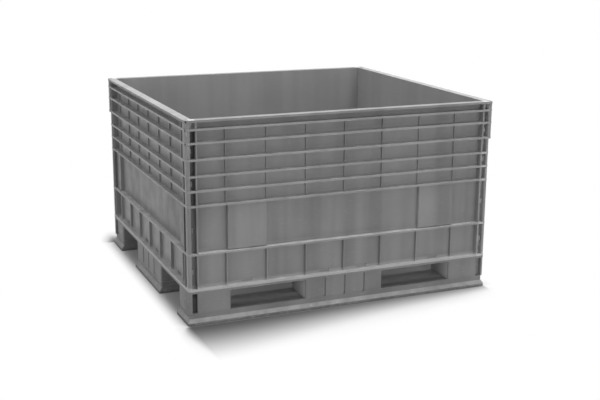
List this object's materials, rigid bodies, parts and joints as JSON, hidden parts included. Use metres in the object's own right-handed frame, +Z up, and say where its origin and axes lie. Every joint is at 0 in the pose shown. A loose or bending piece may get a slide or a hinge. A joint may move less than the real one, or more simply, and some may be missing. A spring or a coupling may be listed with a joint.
{
  "type": "bulk harvest bin",
  "caption": "Rigid-wall plastic bulk bin for fruit and grapes: snap-together ribbed walls on a base with legs, runners and four-way fork openings.",
  "frame": {"origin": "middle of the footprint at ground level, under the runners", "axes": "+X along the long walls and the runners, +Y from the front wall to the back wall, +Z up"},
  "size_m": [1.219, 1.143, 0.737],
  "materials": {
    "wall_plastic": "grey injection-moulded HDPE with a satin, slightly orange-peel skin",
    "base_plastic": "grey injection-moulded HDPE, satin, scuffed on its feet",
    "runner_plastic": "grey injection-moulded HDPE, matte from wear on the ground",
    "bolt_steel": "zinc-plated steel"
  },
  "bodies": {
    "root": {"front_wall": "wall_plastic", "back_wall": "wall_plastic", "left_wall": "wall_plastic", "right_wall": "wall_plastic", "base_deck": "base_plastic", "leg_front_left": "base_plastic", "leg_front_middle": "base_plastic", "leg_front_right": "base_plastic", "leg_centre_left": "base_plastic", "leg_centre_middle": "base_plastic", "leg_centre_right": "base_plastic", "leg_back_left": "base_plastic", "leg_back_middle": "base_plastic", "leg_back_right": "base_plastic", "runner_front": "runner_plastic", "runner_centre": "runner_plastic", "runner_back": "runner_plastic", "bolt_front_left": "bolt_steel", "bolt_front_middle": "bolt_steel", "bolt_front_right": "bolt_steel", "bolt_centre_left": "bolt_steel", "bolt_centre_middle": "bolt_steel", "bolt_centre_right": "bolt_steel", "bolt_back_left": "bolt_steel", "bolt_back_middle": "bolt_steel", "bolt_back_right": "bolt_steel"}
  },
  "joints": []
}
